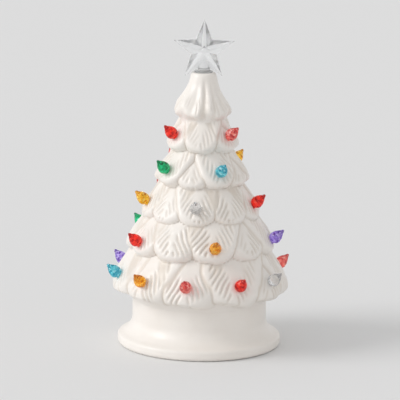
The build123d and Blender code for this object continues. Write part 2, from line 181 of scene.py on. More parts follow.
class Surface(Nodes):
    """Nodes of one material round a principled shader."""

    def __init__(self, name: str) -> None:
        """Starts a material with a lone principled shader.

        Args:
            name: Name of the material.
        """
        self.material = bpy.data.materials.new(name)
        self.material.use_nodes = True
        super().__init__(self.material.node_tree)
        self.shader = self.tree.nodes["Principled BSDF"]

    def set(self, **values: object) -> None:
        """Sets the shader's sockets, named with _ for each space.

        Args:
            values: One value for each socket, a colour as three numbers.
        """
        for key, value in values.items():
            socket = self.shader.inputs[key.replace("_", " ")]
            socket.default_value = (*value, 1.0) if socket.type == "RGBA" else value

    def feed(self, name: str, source: Socket) -> None:
        """Drives one of the shader's sockets."""
        self.join(source, self.shader.inputs[name])

    def place(self) -> Socket:
        """Position in the piece's own frame."""
        return self.add("ShaderNodeTexCoord").outputs["Object"]

    def axis(self, name: str) -> Socket:
        """One coordinate in the piece's own frame.

        Args:
            name: X, Y or Z.

        Returns:
            Socket with the coordinate in metres.
        """
        parts = self.add("ShaderNodeSeparateXYZ")
        self.join(self.place(), parts.inputs[0])
        return parts.outputs[name]

    def noise(self, grain: float, detail: float = 3.0, stretch: Triple = (1, 1, 1)) -> Socket:
        """Cloudy variation.

        Args:
            grain: Size of one cloud in millimetres.
            detail: Octaves of finer clouds.
            stretch: How many times denser the clouds lie along each axis.

        Returns:
            Socket with numbers round 0.5.
        """
        mapping = self.add("ShaderNodeMapping")
        mapping.inputs["Scale"].default_value = stretch
        self.join(self.place(), mapping.inputs["Vector"])
        node = self.add("ShaderNodeTexNoise")
        node.inputs["Scale"].default_value = 1.0 / (grain * MM)
        node.inputs["Detail"].default_value = detail
        self.join(mapping.outputs["Vector"], node.inputs["Vector"])
        return node.outputs["Fac"]

    def tint(self, share: Socket, plain: Colour | Socket, other: Colour | Socket) -> Socket:
        """Mixes two colours.

        Args:
            share: Socket with the share of the other colour.
            plain: Colour at 0.
            other: Colour at 1.

        Returns:
            Colour socket.
        """
        node = self.add("ShaderNodeMix", data_type="RGBA")
        self.join(share, node.inputs["Factor"])
        sockets = [socket for socket in node.inputs if socket.type == "RGBA"]
        for socket, colour in zip(sockets, (plain, other)):
            if isinstance(colour, Socket):
                self.join(colour, socket)
            else:
                socket.default_value = (*colour, 1.0)
        return next(socket for socket in node.outputs if socket.type == "RGBA")

    def gloss(self, cloud: Socket, low: float, high: float) -> None:
        """Lets the roughness run between two values with a cloud."""
        self.feed("Roughness", self.span(cloud, CLOUD_RANGE, (low, high)))

    def relief(self, height: Socket, depth: float) -> None:
        """Fine relief on the shader's normal.

        Args:
            height: Socket with heights from 0 to 1.
            depth: Full height in millimetres.
        """
        node = self.add("ShaderNodeBump")
        node.inputs["Distance"].default_value = depth * MM
        self.join(height, node.inputs["Height"])
        self.feed("Normal", node.outputs["Normal"])


@dataclass(frozen=True)
class Finish:
    """A finish, which is moulded plastic unless a kind of its own says otherwise.

    Attributes:
        name: Name of the finish and of its material slot.
        colour: Base colour.
        roughness: Mean roughness.
    """

    name: str
    colour: Colour
    roughness: float

    @cache
    def material(self) -> bpy.types.Material:
        """The finish as a material, made once."""
        return self.make(Surface(self.name)).material

    def make(self, surface: Surface) -> Surface:
        """Moulded plastic: faint cloudiness, uneven gloss and a fine spark texture.

        Args:
            surface: Material to fill.

        Returns:
            The same material.
        """
        darker = tuple(0.9 * value for value in self.colour)
        surface.feed("Base Color", surface.tint(surface.noise(14.0), self.colour, darker))
        surface.gloss(surface.noise(3.0), self.roughness - 0.06, self.roughness + 0.06)
        surface.relief(surface.noise(0.35, detail=2.0), 0.02)
        return surface


@dataclass(frozen=True)
class Glaze(Finish):
    """White glaze with painted warm shade in the carving.

    Attributes:
        crease_shade_colour: Colour of the painted shade in the carving.
        crease_shade_share: Share of the painted shade in the deepest carving.
    """

    crease_shade_colour: Colour
    crease_shade_share: float

    def make(self, surface: Surface) -> Surface:
        """Satin glaze with a clear coat and painted warm shade in the creases and strokes.

        Args:
            surface: Material to fill.

        Returns:
            The same material.
        """
        # Painted shade: the casting's shade share darkens and warms the glaze in strokes, creases and
        # folds; the cloud adds random warmth.
        depth = surface.add("ShaderNodeAttribute", attribute_name=Casting.PAINTED_SHADE)
        pool = surface.span(depth.outputs["Fac"], (0.0, 1.0), (0.0, self.crease_shade_share))
        cloud = surface.span(surface.noise(22.0), (0.35, 0.75), (0.0, 0.12))
        shade_and_cloud = surface.combine("ADD", pool, cloud)
        surface.feed("Base Color", surface.tint(shade_and_cloud, self.colour, self.crease_shade_colour))
        surface.gloss(surface.noise(9.0), self.roughness - 0.07, self.roughness + 0.07)
        surface.relief(surface.noise(4.5, detail=1.0), 0.03)
        surface.set(Coat_Weight=0.18, Coat_Roughness=0.3, Specular_IOR_Level=0.4)
        return surface


@dataclass(frozen=True)
class Translucent(Finish):
    """Tinted plastic that lets light through.

    Attributes:
        clearness: Share of the light that passes.
        tip_colour: Colour of the thick tip, or of the whole piece.
        tip_heights: Heights between which the colour turns to the tip's, in millimetres.
    """

    clearness: float
    tip_colour: Colour
    tip_heights: Span = (8.5, 12.0)

    def make(self, surface: Surface) -> Surface:
        """Clear moulding with a deeper colour towards its tip."""
        return self.mould(surface, surface.tint(self.tip_share(surface), self.colour, self.tip_colour))

    def tip_share(self, surface: Surface) -> Socket:
        """Share of the tip's colour, growing towards the tip."""
        ends = tuple(height * MM for height in self.tip_heights)
        return surface.span(surface.axis("Z"), ends, (0.0, 0.85))

    def mould(self, surface: Surface, colour: Socket) -> Surface:
        """Clear plastic of one colour with an uneven polish.

        Args:
            surface: Material to fill.
            colour: Colour of the plastic.

        Returns:
            The same material.
        """
        surface.feed("Base Color", colour)
        surface.gloss(surface.noise(1.2), 0.5 * self.roughness, 1.5 * self.roughness)
        surface.set(Transmission_Weight=self.clearness, IOR=PLASTIC_IOR)
        return surface


@dataclass(frozen=True)
class Faceted(Translucent):
    """Tinted plastic with moulded facets that carry painted reflections: painted shade on some, a painted
    glint on others.

    Attributes:
        painted_glint: Colour of the painted glint on the brightest facets.
        painted_glow: Strength of a painted glow in the plastic.
        dark_tones: Levels between which a facet turns from painted shade to plain.
        bright_tones: Levels between which a facet turns from plain to a painted glint.
    """

    painted_glint: Colour = (1.0, 1.0, 1.0)
    painted_glow: float = 0.0
    dark_tones: Span = (0.1, 0.5)
    bright_tones: Span = (0.65, 0.95)

    def make(self, surface: Surface) -> Surface:
        """Clear moulding whose facets carry painted shade, a painted glint and a painted glow.

        Args:
            surface: Material to fill.

        Returns:
            The same material.
        """
        # Painted reflections: a scattered level on each facet paints it dark or gives it a painted glint.
        facet_light = surface.add("ShaderNodeAttribute", attribute_name=Bulb.FACET_LIGHT).outputs["Fac"]
        dark = surface.span(facet_light, self.dark_tones, (1.0, 0.0))
        glint_share = surface.span(facet_light, self.bright_tones, (0.0, 0.9))
        # The thick tip's deeper colour and the painted shade on dark facets share one mix.
        deep = surface.combine("MAXIMUM", self.tip_share(surface), dark)
        body = surface.tint(deep, self.colour, self.tip_colour)
        tinted = surface.tint(glint_share, body, self.painted_glint)
        # Painted glow: the facets' colour, painted shade and glint included, is also emitted.
        surface.feed("Emission Color", tinted)
        surface.set(Emission_Strength=self.painted_glow, Specular_IOR_Level=0.22)
        return self.mould(surface, tinted)


@dataclass(frozen=True)
class Foam(Finish):
    """Open soft foam."""

    def make(self, surface: Surface) -> Surface:
        """Matte cells with painted shade in the pores.

        Args:
            surface: Material to fill.

        Returns:
            The same material.
        """
        cells = surface.add("ShaderNodeTexVoronoi")
        cells.inputs["Scale"].default_value = 1.0 / (0.5 * MM)
        surface.join(surface.place(), cells.inputs["Vector"])
        # Painted shade: the colour darkens towards the pores.
        darker = tuple(0.4 * value for value in self.colour)
        surface.feed("Base Color", surface.tint(cells.outputs["Distance"], self.colour, darker))
        surface.relief(cells.outputs["Distance"], 0.12)
        surface.set(Roughness=self.roughness)
        return surface


@dataclass(frozen=True)
class Metal(Finish):
    """Rolled bright metal."""

    def make(self, surface: Surface) -> Surface:
        """Metal with drawn lines across its gloss.

        Args:
            surface: Material to fill.

        Returns:
            The same material.
        """
        lines = surface.noise(1.6, stretch=(0.15, 1.0, 6.0))
        darker = tuple(0.8 * value for value in self.colour)
        surface.feed("Base Color", surface.tint(lines, self.colour, darker))
        surface.gloss(lines, self.roughness, self.roughness + 0.2)
        surface.relief(lines, 0.01)
        surface.set(Metallic=1.0)
        return surface


@dataclass(frozen=True)
class Jacket(Finish):
    """Sleeved dry cell.

    Attributes:
        ends: Colour of the bare ends.
        sleeve: Half length of the sleeve in millimetres.
    """

    ends: Colour
    sleeve: float

    def make(self, surface: Surface) -> Surface:
        """Satin sleeve with bare metal beyond it.

        Args:
            surface: Material to fill.

        Returns:
            The same material.
        """
        reach = surface.add("ShaderNodeMath", operation="ABSOLUTE")
        surface.join(surface.axis("X"), reach.inputs[0])
        edge = (self.sleeve * MM, (self.sleeve + 0.2) * MM)
        bare = surface.span(reach.outputs[0], edge, (0.0, 1.0))
        surface.feed("Base Color", surface.tint(bare, self.colour, self.ends))
        surface.feed("Metallic", bare)
        surface.gloss(surface.noise(5.0), 0.25, self.roughness)
        return surface


class BulbColour(Enum):
    """Colours of the bulbs' plastic: body, thick tip and painted glint on the brightest facets."""

    RED = ((0.93, 0.022, 0.008), (0.30, 0.002, 0.002), (1.0, 0.14, 0.08))
    PINK = ((0.94, 0.21, 0.17), (0.50, 0.03, 0.04), (1.0, 0.58, 0.52))
    YELLOW = ((0.97, 0.56, 0.02), (0.52, 0.18, 0.003), (1.0, 0.82, 0.22))
    AMBER = ((0.93, 0.40, 0.010), (0.40, 0.10, 0.002), (1.0, 0.70, 0.14))
    GREEN = ((0.006, 0.49, 0.18), (0.001, 0.09, 0.035), (0.06, 0.82, 0.44))
    CYAN = ((0.14, 0.65, 0.74), (0.025, 0.30, 0.43), (0.56, 0.94, 0.97))
    PURPLE = ((0.40, 0.27, 0.78), (0.10, 0.04, 0.30), (0.70, 0.60, 0.97))
    CLEAR = ((0.97, 0.97, 0.97), (0.80, 0.80, 0.82), (1.0, 1.0, 1.0))

    def finish(self) -> Faceted:
        """The bulb's plastic in this colour.

        Returns:
            The finish.
        """
        body, tip, painted_glint = self.value
        # Tinted bulbs get a faint painted glow.
        clearness, painted_glow = (0.85, 0.0) if self is BulbColour.CLEAR else (0.7, 0.1)
        return Faceted(f"bulb_{self.name.lower()}", body, 0.03, clearness, tip, painted_glint=painted_glint, painted_glow=painted_glow)


# Glazed ceramic; its second, darker warm colour is painted shade in the carving.
GLAZE = Glaze("glazed_ceramic", (0.885, 0.842, 0.795), 0.36, (0.62, 0.53, 0.43), 0.6)
STAR_CLEAR = Translucent("star_clear", (0.98, 0.985, 0.99), 0.02, 0.80, (0.98, 0.985, 0.99))
PLAIN_FINISHES = (
    Finish("base_plastic", (0.80, 0.795, 0.775), 0.48),
    Foam("seal_foam", (0.16, 0.16, 0.165), 0.95),
    Finish("switch_black", (0.022, 0.022, 0.024), 0.42),
    Finish("board_green", (0.03, 0.17, 0.07), 0.35),
    Translucent("diffuser_frosted", (0.92, 0.92, 0.90), 0.42, 0.55, (0.92, 0.92, 0.90)),
    Translucent("lamp_clear", (0.95, 0.90, 0.72), 0.06, 0.85, (0.95, 0.90, 0.72)),
    Jacket("cell_jacket", (0.09, 0.11, 0.13), 0.42, (0.72, 0.71, 0.69), 20.6),
    Metal("contact_metal", (0.72, 0.71, 0.69), 0.22),
    Finish("lead_red", (0.50, 0.02, 0.02), 0.38),
    Finish("lead_black", (0.018, 0.018, 0.018), 0.38),
)


@dataclass(frozen=True)
class Tier:
    """One ring of boughs, in millimetres and degrees.

    Attributes:
        nose_radius: Reach of the noses from the axis.
        nose_height: Height of the noses above the floor.
        half_width: Half width of a bough.
        crease_depth: Depth of the creases between boughs, from the noses.
        bough_depth: Depth of a bough, square to its slope.
        edge_rounding: Rounding of a bough's edge.
        nose_cut: How far the underside cuts the nose back.
        stroke_pitch: Spacing of the carved strokes.
        stroke_depth: Depth of the carved strokes.
        stroke_angle: Angle of the strokes from a bough's middle line.
        stroke_spread: Reach of the strokes to each side.
        stroke_drop: Reach of the strokes down to the nose.
        boughs: Direction from the front, positive to the right, lean and lift of each bough.
        taper: Narrowing of a bough to each side for each millimetre up its slope.
    """

    nose_radius: float
    nose_height: float
    half_width: float
    crease_depth: float
    bough_depth: float
    edge_rounding: float
    nose_cut: float
    stroke_pitch: float
    stroke_depth: float
    stroke_angle: float
    stroke_spread: float
    stroke_drop: float
    boughs: tuple[Triple, ...]
    taper: float = 0.0


TIERS = (
    Tier(
        63.2, 42.8, 25.0, 10.0, 17.0, 6.5, 3.3, 3.5, 1.1, 25.0, 17.5, 24.5,
        ((-153, 8, 0.2), (-115, -6, -0.2), (-73, -6, 0.3), (-42, 2, 0.0), (-9, 4, -0.4), (27, 14, 0.5),
         (57, 9, -0.4), (85, -5, 0.4), (111, 7, -0.3), (137, -8, 0.3), (169, 5, 0.0)),
    ),
    Tier(
        53.0, 72.0, 18.5, 8.5, 13.0, 4.2, 0.0, 3.4, 1.1, 31.0, 15.0, 15.7,
        ((-168, 6, 0.0), (-127, -7, 0.3), (-92, 5, 0.2), (-58, -4, -0.4), (-24, 1, 0.0), (11, 12, 0.6),
         (45, 8, -1.0), (78, -5, 0.2), (116, 9, -0.6), (154, -6, 0.2)),
    ),
    Tier(
        42.7, 95.2, 15.5, 7.5, 11.0, 3.5, 0.0, 3.1, 1.0, 28.0, 12.3, 13.2,
        ((-176, -5, 0.2), (-138, 7, -0.2), (-108, -6, 0.3), (-76, -5, 0.2), (-40, 5, -0.4), (-5, -3, 0.4),
         (33, 7, 0.2), (71, -6, -0.3), (108, 5, 0.4), (146, -8, 0.0)),
    ),
    Tier(
        34.0, 120.3, 13.2, 6.5, 10.0, 3.0, 0.0, 2.9, 0.85, 25.0, 10.4, 11.2,
        ((-144, 6, 0.1), (-98, -6, -0.2), (-52, 7, 0.5), (-14, 0, -1.2), (24, -4, 0.5), (60, 8, -0.5),
         (96, -5, 0.2), (132, 6, -0.2), (173, -4, 0.3)),
    ),
    Tier(
        26.2, 144.0, 12.4, 6.0, 10.0, 2.8, 0.0, 2.7, 0.6, 21.0, 10.4, 10.5,
        ((-157, 5, 0.2), (-108, -6, -0.3), (-58, -4, 0.1), (-3, 4, 0.5), (53, 6, -0.2), (104, -5, 0.3),
         (154, 4, 0.0)),
    ),
    Tier(
        20.9, 167.1, 11.0, 6.2, 10.0, 2.5, 0.0, 2.5, 0.45, 12.0, 9.0, 9.4,
        ((-140, 4, -0.2), (-80, -3, 0.0), (-20, 4, 0.2), (40, -4, 0.0), (100, 5, -0.2), (160, -4, 0.2)),
        0.35,
    ),
)


@dataclass(frozen=True)
class Bough:
    """One rounded tongue of the casting with its carved strokes.

    Attributes:
        tier: Ring that the bough belongs to.
        azimuth: Direction from the front in degrees, positive to the right.
        lean: Turn of the bough on its slope in degrees, positive to the right.
        lift: Height of the bough over its tier's slope in millimetres.
        number: Count of the bough over the whole tree.
        slope: Slope of the boughs in degrees.
        crown_share: Height of the crown as a share of the half width.
        length_share: Length above the half-round end as a share of the half width.
        underside_fall: Fall of the underside towards the axis in degrees.
        underside_rounding: Rounding of the underside's edge.
        edge_softness: Run-out of the edge as a multiple of its rounding.
        stroke_start: Place of the strokes' upper ends, as a share of the half width.
        stroke_length: Length of the longest stroke in pitches.
        groove_width: Half width of a stroke's groove.
        wander: Sideways wander of the middle line.
        unevenness: Share of a stroke by which its end varies.
        STROKES: Numbers of the first and last stroke.
        BEGINS: Shares of a stroke between which it sinks in.
        FADES: Shares of a stroke between which it runs out.
    """

    tier: Tier
    azimuth: float
    lean: float
    lift: float
    number: int
    slope: float = 53.0
    crown_share: float = 0.15
    length_share: float = 1.2
    underside_fall: float = 18.0
    underside_rounding: float = 1.5
    edge_softness: float = 1.2
    stroke_start: float = 0.08
    stroke_length: float = 4.8
    groove_width: float = 0.85
    wander: float = 0.5
    unevenness: float = 0.16

    STROKES = (-1.0, 9.0)
    BEGINS = (-0.08, 0.3)
    FADES = (0.82, 1.06)

    @property
    def away(self) -> np.ndarray:
        """Level direction away from the axis."""
        angle = math.radians(self.azimuth)
        return np.array((math.sin(angle), -math.cos(angle), 0.0))

    @property
    def arc(self) -> float:
        """Radius of the crown across the bough."""
        width = self.tier.half_width
        crown = self.crown_share * width
        return (width**2 + crown**2) / (2 * crown)

    def tip_centre(self) -> np.ndarray:
        """Centre of the half-round end, on the crown.

        Returns:
            The place in millimetres.
        """
        rounding = self.tier.edge_rounding
        flat = self.tier.half_width - rounding
        cosine = math.cos(math.radians(self.slope))
        sine = math.sin(math.radians(self.slope))
        along = flat + rounding * cosine
        drop = self.arc - math.sqrt((self.arc - rounding) ** 2 - flat**2) - rounding * sine
        radius = self.tier.nose_radius - along * cosine + drop * sine
        height = self.tier.nose_height + along * sine + drop * cosine
        return self.away * radius + np.array((0.0, 0.0, height))

    def local(self, points: np.ndarray) -> np.ndarray:
        """Points in the bough's frame: across, up the slope and out of the slope.

        Args:
            points: Points on the tree, one row each, in millimetres.

        Returns:
            The same points in the bough's frame.
        """
        sine = math.sin(math.radians(self.slope))
        cosine = math.cos(math.radians(self.slope))
        upright = np.array((0.0, 0.0, 1.0))
        side = np.array((-self.away[1], self.away[0], 0.0))
        up = upright * sine - self.away * cosine
        out = self.away * sine + upright * cosine
        lean = math.radians(self.lean)
        across = side * math.cos(lean) - up * math.sin(lean)
        along = up * math.cos(lean) + side * math.sin(lean)
        return (points - self.tip_centre() - self.lift * out) @ np.stack((across, along, out)).T

    def underside(self, up: np.ndarray, out: np.ndarray) -> np.ndarray:
        """Distance below the bough's flat underside.

        Args:
            up: Places up the slope.
            out: Places out of the slope.

        Returns:
            Distances, negative inside the bough.
        """
        rounding = self.tier.edge_rounding
        tilt = math.radians(self.slope + self.underside_fall)
        back = rounding - self.tier.half_width
        rise = math.sqrt((self.arc - rounding) ** 2 - back**2) - self.arc
        offset = rounding - self.tier.nose_cut * math.sin(tilt)
        return (back - up) * math.sin(tilt) + (rise - out) * math.cos(tilt) - offset

    def distance(self, points: np.ndarray) -> np.ndarray:
        """Distance of points from the bough's plain surface.

        Args:
            points: Points on the tree in millimetres.

        Returns:
            Distances, negative inside.
        """
        across, up, out = self.local(points).T
        width = self.tier.half_width
        reach = np.hypot(across, np.minimum(up, 0.0)) + self.tier.taper * np.maximum(up, 0.0)
        crown = self.crown_share * (reach / width) ** 2 * width
        ends = np.maximum(up - self.length_share * width, -out - self.tier.bough_depth)
        sides = np.maximum(reach - width, ends)
        tongue = soft_cut(sides, out + crown, self.edge_softness * self.tier.edge_rounding)
        return soft_cut(tongue, self.underside(up, out), self.underside_rounding)

    def carving(self, points: np.ndarray) -> np.ndarray:
        """Depth of the feathered strokes.

        Args:
            points: Points on the bough in millimetres.

        Returns:
            Depths in millimetres.
        """
        across, up, _ = self.local(points).T
        side = np.abs(across + self.wander * np.sin(0.33 * up + 2.3 * self.number))
        pitch = self.tier.stroke_pitch
        slant = math.radians(self.tier.stroke_angle)
        sine, cosine = math.sin(slant), math.cos(slant)
        count = (side * cosine + up * sine) / pitch + 0.5
        stroke = np.clip(np.round(count), *self.STROKES)
        uneven = np.sin(12.9 * stroke + 4.1 * self.number + 2.0 * np.sign(across))
        offset = (stroke - 0.5) * pitch
        last = self.stroke_end(offset)
        first = (self.stroke_start * self.tier.half_width - offset * cosine) / sine
        first = np.maximum(first, last - self.stroke_length * pitch)
        along = side * sine - up * cosine
        share = (along - first) / np.maximum(last - first, 0.5 * pitch)
        begins = smooth_step(*self.BEGINS, share)
        fades = 1.0 - smooth_step(*(end + self.unevenness * uneven for end in self.FADES), share)
        groove = np.exp(-((np.abs(count - stroke) * pitch / self.groove_width) ** 2))
        return self.tier.stroke_depth * (0.8 + 0.2 * uneven) * groove * begins * fades

    def stroke_end(self, offset: np.ndarray) -> np.ndarray:
        """Place along a stroke where it ends, at the bough's side or on the ellipse round its nose.

        Args:
            offset: Distances of the strokes from the tip centre.

        Returns:
            Distances along the strokes in millimetres.
        """
        slant = math.radians(self.tier.stroke_angle)
        sine, cosine = math.sin(slant), math.cos(slant)
        wide = self.tier.stroke_spread**-2
        high = self.tier.stroke_drop**-2
        square = wide * sine**2 + high * cosine**2
        linear = (wide - high) * sine * cosine * offset
        rest = (wide * cosine**2 + high * sine**2) * offset**2 - 1.0
        nose = (np.sqrt(np.maximum(linear**2 - square * rest, 0.0)) - linear) / square
        edge = (self.tier.stroke_spread - offset * cosine) / sine
        return np.where(offset * sine > edge * cosine, edge, nose)


@dataclass
class Row:
    """One closed row of points round the axis.

    Attributes:
        points: Points in millimetres.
        pool: Share of painted shade at each point, from 0 to 1.
    """

    points: np.ndarray
    pool: np.ndarray


@dataclass
class Casting:
    """The hollow one-piece casting, in millimetres.

    Attributes:
        lip_radius: Radius of the foot's lip.
        lip_height: Height of the lip.
        lip_rounding: Rounding of the lip's edges.
        flare_foot_radius: Radius where the flare meets the lip.
        flare_top: Height where the flare ends.
        flare_radius: Radius of the flare's hollow.
        drum_radius: Radius of the drum.
        drum_top: Height of the drum.
        neck_radius: Radius of the neck at the top.
        neck_foot_radius: Radius of the neck below.
        neck_height: Height of the neck.
        rim_rounding: Rounding of the neck's rim.
        mouth_radius: Radius of the mouth.
        mouth_depth: Depth of the mouth.
        wall: Wall of the casting.
        seat_radius: Radius of the base plate's seat.
        ledge_height: Height of the ledge above the floor.
        row_step: Spacing of the rows on the boughs.
        fine_columns: Points round the lower boughs.
        thinning_height: Height above which the rows have half as many points.
        first_row: Height of the lowest carved row.
        drum_step: Spacing of the rows on the drum.
        foot_smoothing: Passes that let the lip and the flare flow together.
        core_slant: Cosine of the cone's slant.
        reach_up: How far a bough can show above its nose.
        reach_down: How far a bough can show below its nose.
        flow: Width over which two boughs flow together.
        top_flow: The same on the topmost tier.
        crease_width: Width of the creases between boughs.
        crease_depth: Depth of the creases between boughs.
        carving_gain: Cut along a ray for each millimetre of depth.
        ripple_height: Height of the casting's soft ripple.
        fold_lean: Turn of the folds in degrees for each millimetre up.
        fold_wander: Wander of the folds to each side in degrees.
        march_steps: Steps in which a row's points close in on the surface.
        march_stride: Share of the distance that one step takes.
        mouth_edge: Bevel of the mouth's edge.
        mouth_row: Depth of the row inside the mouth.
        NODE: CAD node that the casting stands for.
        PAINTED_SHADE: Attribute with the share of painted shade in the carving.
        PAINTED_SHADE_SHARES: Painted shade for each millimetre of stroke, in a crease and for each
            millimetre of fold.
        RIPPLES: Waves of the ripple along each axis, in radians for each millimetre.
        FOLDS: Direction and half width in degrees and depth of each fold under the star.
        FOLD_FOOT: Heights between which the folds fade in, from the topmost noses.
        FOLD_TOP: Heights between which the folds fade out, from the top.
        OPEN_FACE: Distances from the next bough between which the strokes come in.
        CREASE_REACH: Distances from the boughs between which a crease runs out.
        FAR: Distance for a place with no bough near it.
        BLEND: First and last place of the foot's outline that the smoothing moves.
        ARC_STEP: Turn between two rows of a rounding in degrees.
    """

    lip_radius: float = 57.9
    lip_height: float = 8.2
    lip_rounding: float = 2.8
    flare_foot_radius: float = 54.8
    flare_top: float = 18.5
    flare_radius: float = 14.0
    drum_radius: float = 47.6
    drum_top: float = 33.0
    neck_radius: float = 8.6
    neck_foot_radius: float = 12.0
    neck_height: float = 15.0
    rim_rounding: float = 1.4
    mouth_radius: float = 5.0
    mouth_depth: float = 11.0
    wall: float = 4.5
    seat_radius: float = 47.2
    ledge_height: float = 6.0
    row_step: float = 1.0
    fine_columns: int = 640
    thinning_height: float = 108.0
    first_row: float = 27.0
    drum_step: float = 1.5
    foot_smoothing: int = 4
    core_slant: float = 0.93
    reach_up: float = 48.0
    reach_down: float = 16.0
    flow: float = 1.0
    top_flow: float = 3.5
    crease_width: float = 0.9
    crease_depth: float = 0.6
    carving_gain: float = 1.15
    ripple_height: float = 0.12
    fold_lean: float = 0.2
    fold_wander: float = 1.6
    march_steps: int = 26
    march_stride: float = 0.95
    mouth_edge: float = 0.3
    mouth_row: float = 4.0

    NODE = "tree_shell"
    # Painted shade laid into the carving where shade falls.
    PAINTED_SHADE = "painted_crease_shade"
    PAINTED_SHADE_SHARES = (0.7, 0.4, 0.2)
    RIPPLES = ((0.31, 0.23, 0.27), (-0.19, 0.35, 0.22))
    FOLDS = (
        (-145.0, 7.0, 1.5), (-115.0, 5.0, 0.8), (-85.0, 7.0, 1.2), (-58.0, 5.0, 0.3), (-24.0, 8.0, 0.6),
        (2.0, 7.5, 2.2), (26.0, 4.0, 0.8), (47.0, 5.0, 0.6), (76.0, 7.0, 1.4), (108.0, 5.0, 0.8),
        (140.0, 7.0, 1.5), (175.0, 6.0, 1.2),
    )
    FOLD_FOOT = (-6.0, -1.0)
    FOLD_TOP = (-20.0, -1.0)
    OPEN_FACE = (0.1, 0.7)
    CREASE_REACH = (0.2, 0.8)
    FAR = 100.0
    BLEND = (12, 22)
    ARC_STEP = 15

    def __post_init__(self) -> None:
        """Reads the height from the frame and sets out the boughs."""
        self.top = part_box(self.NODE)[1][2] / MM
        places = [(tier, *place) for tier in TIERS for place in tier.boughs]
        self.boughs = [Bough(*place, number) for number, place in enumerate(places)]

    def cone(self, inset: float) -> Outline:
        """Radius and height of the cone under the boughs at each tier, set in by a wall."""
        return [(tier.nose_radius - tier.crease_depth - inset, tier.nose_height) for tier in TIERS]

    def core_radius(self, heights: np.ndarray) -> np.ndarray:
        """Radius of the drum, cone and neck.

        Args:
            heights: Heights above the floor.

        Returns:
            Radius at each height.
        """
        outline = [(self.drum_radius, self.flare_top), (self.drum_radius, self.drum_top), *self.cone(0.0)]
        outline += [(self.neck_foot_radius, self.top - self.neck_height), (self.neck_radius, self.top)]
        radii, levels = zip(*outline)
        return np.interp(heights, levels, radii)

    def near(self, low: float, high: float) -> list[Bough]:
        """Boughs that can show between two heights."""
        first, last = low - self.reach_up, high + self.reach_down
        return [bough for bough in self.boughs if first < bough.tier.nose_height < last]

    def core_distance(self, points: np.ndarray) -> np.ndarray:
        """Distance of points from the drum, cone and neck, negative inside."""
        level = np.hypot(points[:, 0], points[:, 1]) - self.core_radius(points[:, 2])
        return self.core_slant * level

    def shape(self, points: np.ndarray, boughs: list[Bough]) -> np.ndarray:
        """Distance of points from the plain casting.

        Args:
            points: Points in millimetres.
            boughs: Boughs near the points.

        Returns:
            Distances, negative inside.
        """
        total = self.core_distance(points)
        for bough in reversed(boughs):
            flow = self.top_flow if bough.tier is TIERS[-1] else self.flow
            total = soft_union(total, bough.distance(points), flow)
        return total

    def carve(self, points: np.ndarray, boughs: list[Bough]) -> tuple[np.ndarray, np.ndarray]:
        """Depth of the carving, and share of painted shade on the boughs.

        Args:
            points: Points on the plain casting in millimetres.
            boughs: Boughs near the points.

        Returns:
            Depths of the carving in millimetres, and shares of painted shade from 0 to 1.
        """
        core = self.core_distance(points)
        nearest = np.full(len(points), self.FAR)
        second = np.full(len(points), self.FAR)
        depth = np.zeros(len(points))
        for bough in boughs:
            distance = bough.distance(points)
            closer = distance < nearest
            second = np.where(closer, nearest, np.minimum(second, distance))
            nearest = np.where(closer, distance, nearest)
            if closer.any():
                depth[closer] = bough.carving(points[closer])
        depth = depth * (nearest < core)
        open_face = smooth_step(*self.OPEN_FACE, second - nearest)
        crease = 1.0 - smooth_step(0.0, self.crease_width, second - nearest)
        crease *= (1.0 - smooth_step(*self.CREASE_REACH, nearest)) * (nearest < core)
        depth = depth * open_face + self.crease_depth * crease
        folds = self.folds(points)
        # Painted shade, deepest in strokes, creases and folds.
        pool = sum(share * deep for share, deep in zip(self.PAINTED_SHADE_SHARES, (depth, crease, folds)))
        return np.maximum(depth, folds), np.clip(pool, 0.0, 1.0)

    def folds(self, points: np.ndarray) -> np.ndarray:
        """Depth of the long folds that run down from the neck.

        Args:
            points: Points on the plain casting in millimetres.

        Returns:
            Depths in millimetres.
        """
        height = points[:, 2]
        angle = np.degrees(np.arctan2(points[:, 0], -points[:, 1]))
        foot = TIERS[-1].nose_height
        depth = np.zeros(len(points))
        for place, width, deep in self.FOLDS:
            wander = self.fold_wander * np.sin(0.21 * height + place)
            middle = place + self.fold_lean * (height - foot) + wander
            turn = (angle - middle + 180.0) % 360.0 - 180.0
            depth = np.maximum(depth, deep * np.exp(-((turn / width) ** 2)))
        shown = smooth_step(*(foot + end for end in self.FOLD_FOOT), height)
        return depth * (shown - smooth_step(*(self.top + end for end in self.FOLD_TOP), height))

    def bough_rows(self, heights: np.ndarray, columns: int) -> list[Row]:
        """Rows of the carved boughs.

        Args:
            heights: Heights of the rows in millimetres.
            columns: Points in each row.

        Returns:
            The rows from the lowest up.
        """
        angles = np.arange(columns) * 2 * np.pi / columns
        level, angle = (grid.ravel() for grid in np.meshgrid(heights, angles, indexing="ij"))
        ray = np.stack((np.sin(angle), -np.cos(angle), np.zeros_like(angle)), axis=1)
        boughs = self.near(heights[0], heights[-1])
        radius = np.full(len(angle), max(tier.nose_radius for tier in TIERS) + 2.0)
        upright = np.stack((0 * level, 0 * level, level), axis=1)
        for _ in range(self.march_steps):
            radius = radius - self.march_stride * self.shape(ray * radius[:, None] + upright, boughs)
        points = ray * radius[:, None] + upright
        depth, pool = self.carve(points, boughs)
        first, second = (np.sin(points @ np.array(wave)) for wave in self.RIPPLES)
        ripple = self.ripple_height * first * second
        points = points - ray * (self.carving_gain * depth + ripple)[:, None]
        shape = (len(heights), columns)
        # Each ring keeps its share of painted shade, named glaze below.
        rings = zip(points.reshape(*shape, 3), pool.reshape(shape))
        return [Row(ring, glaze) for ring, glaze in rings]

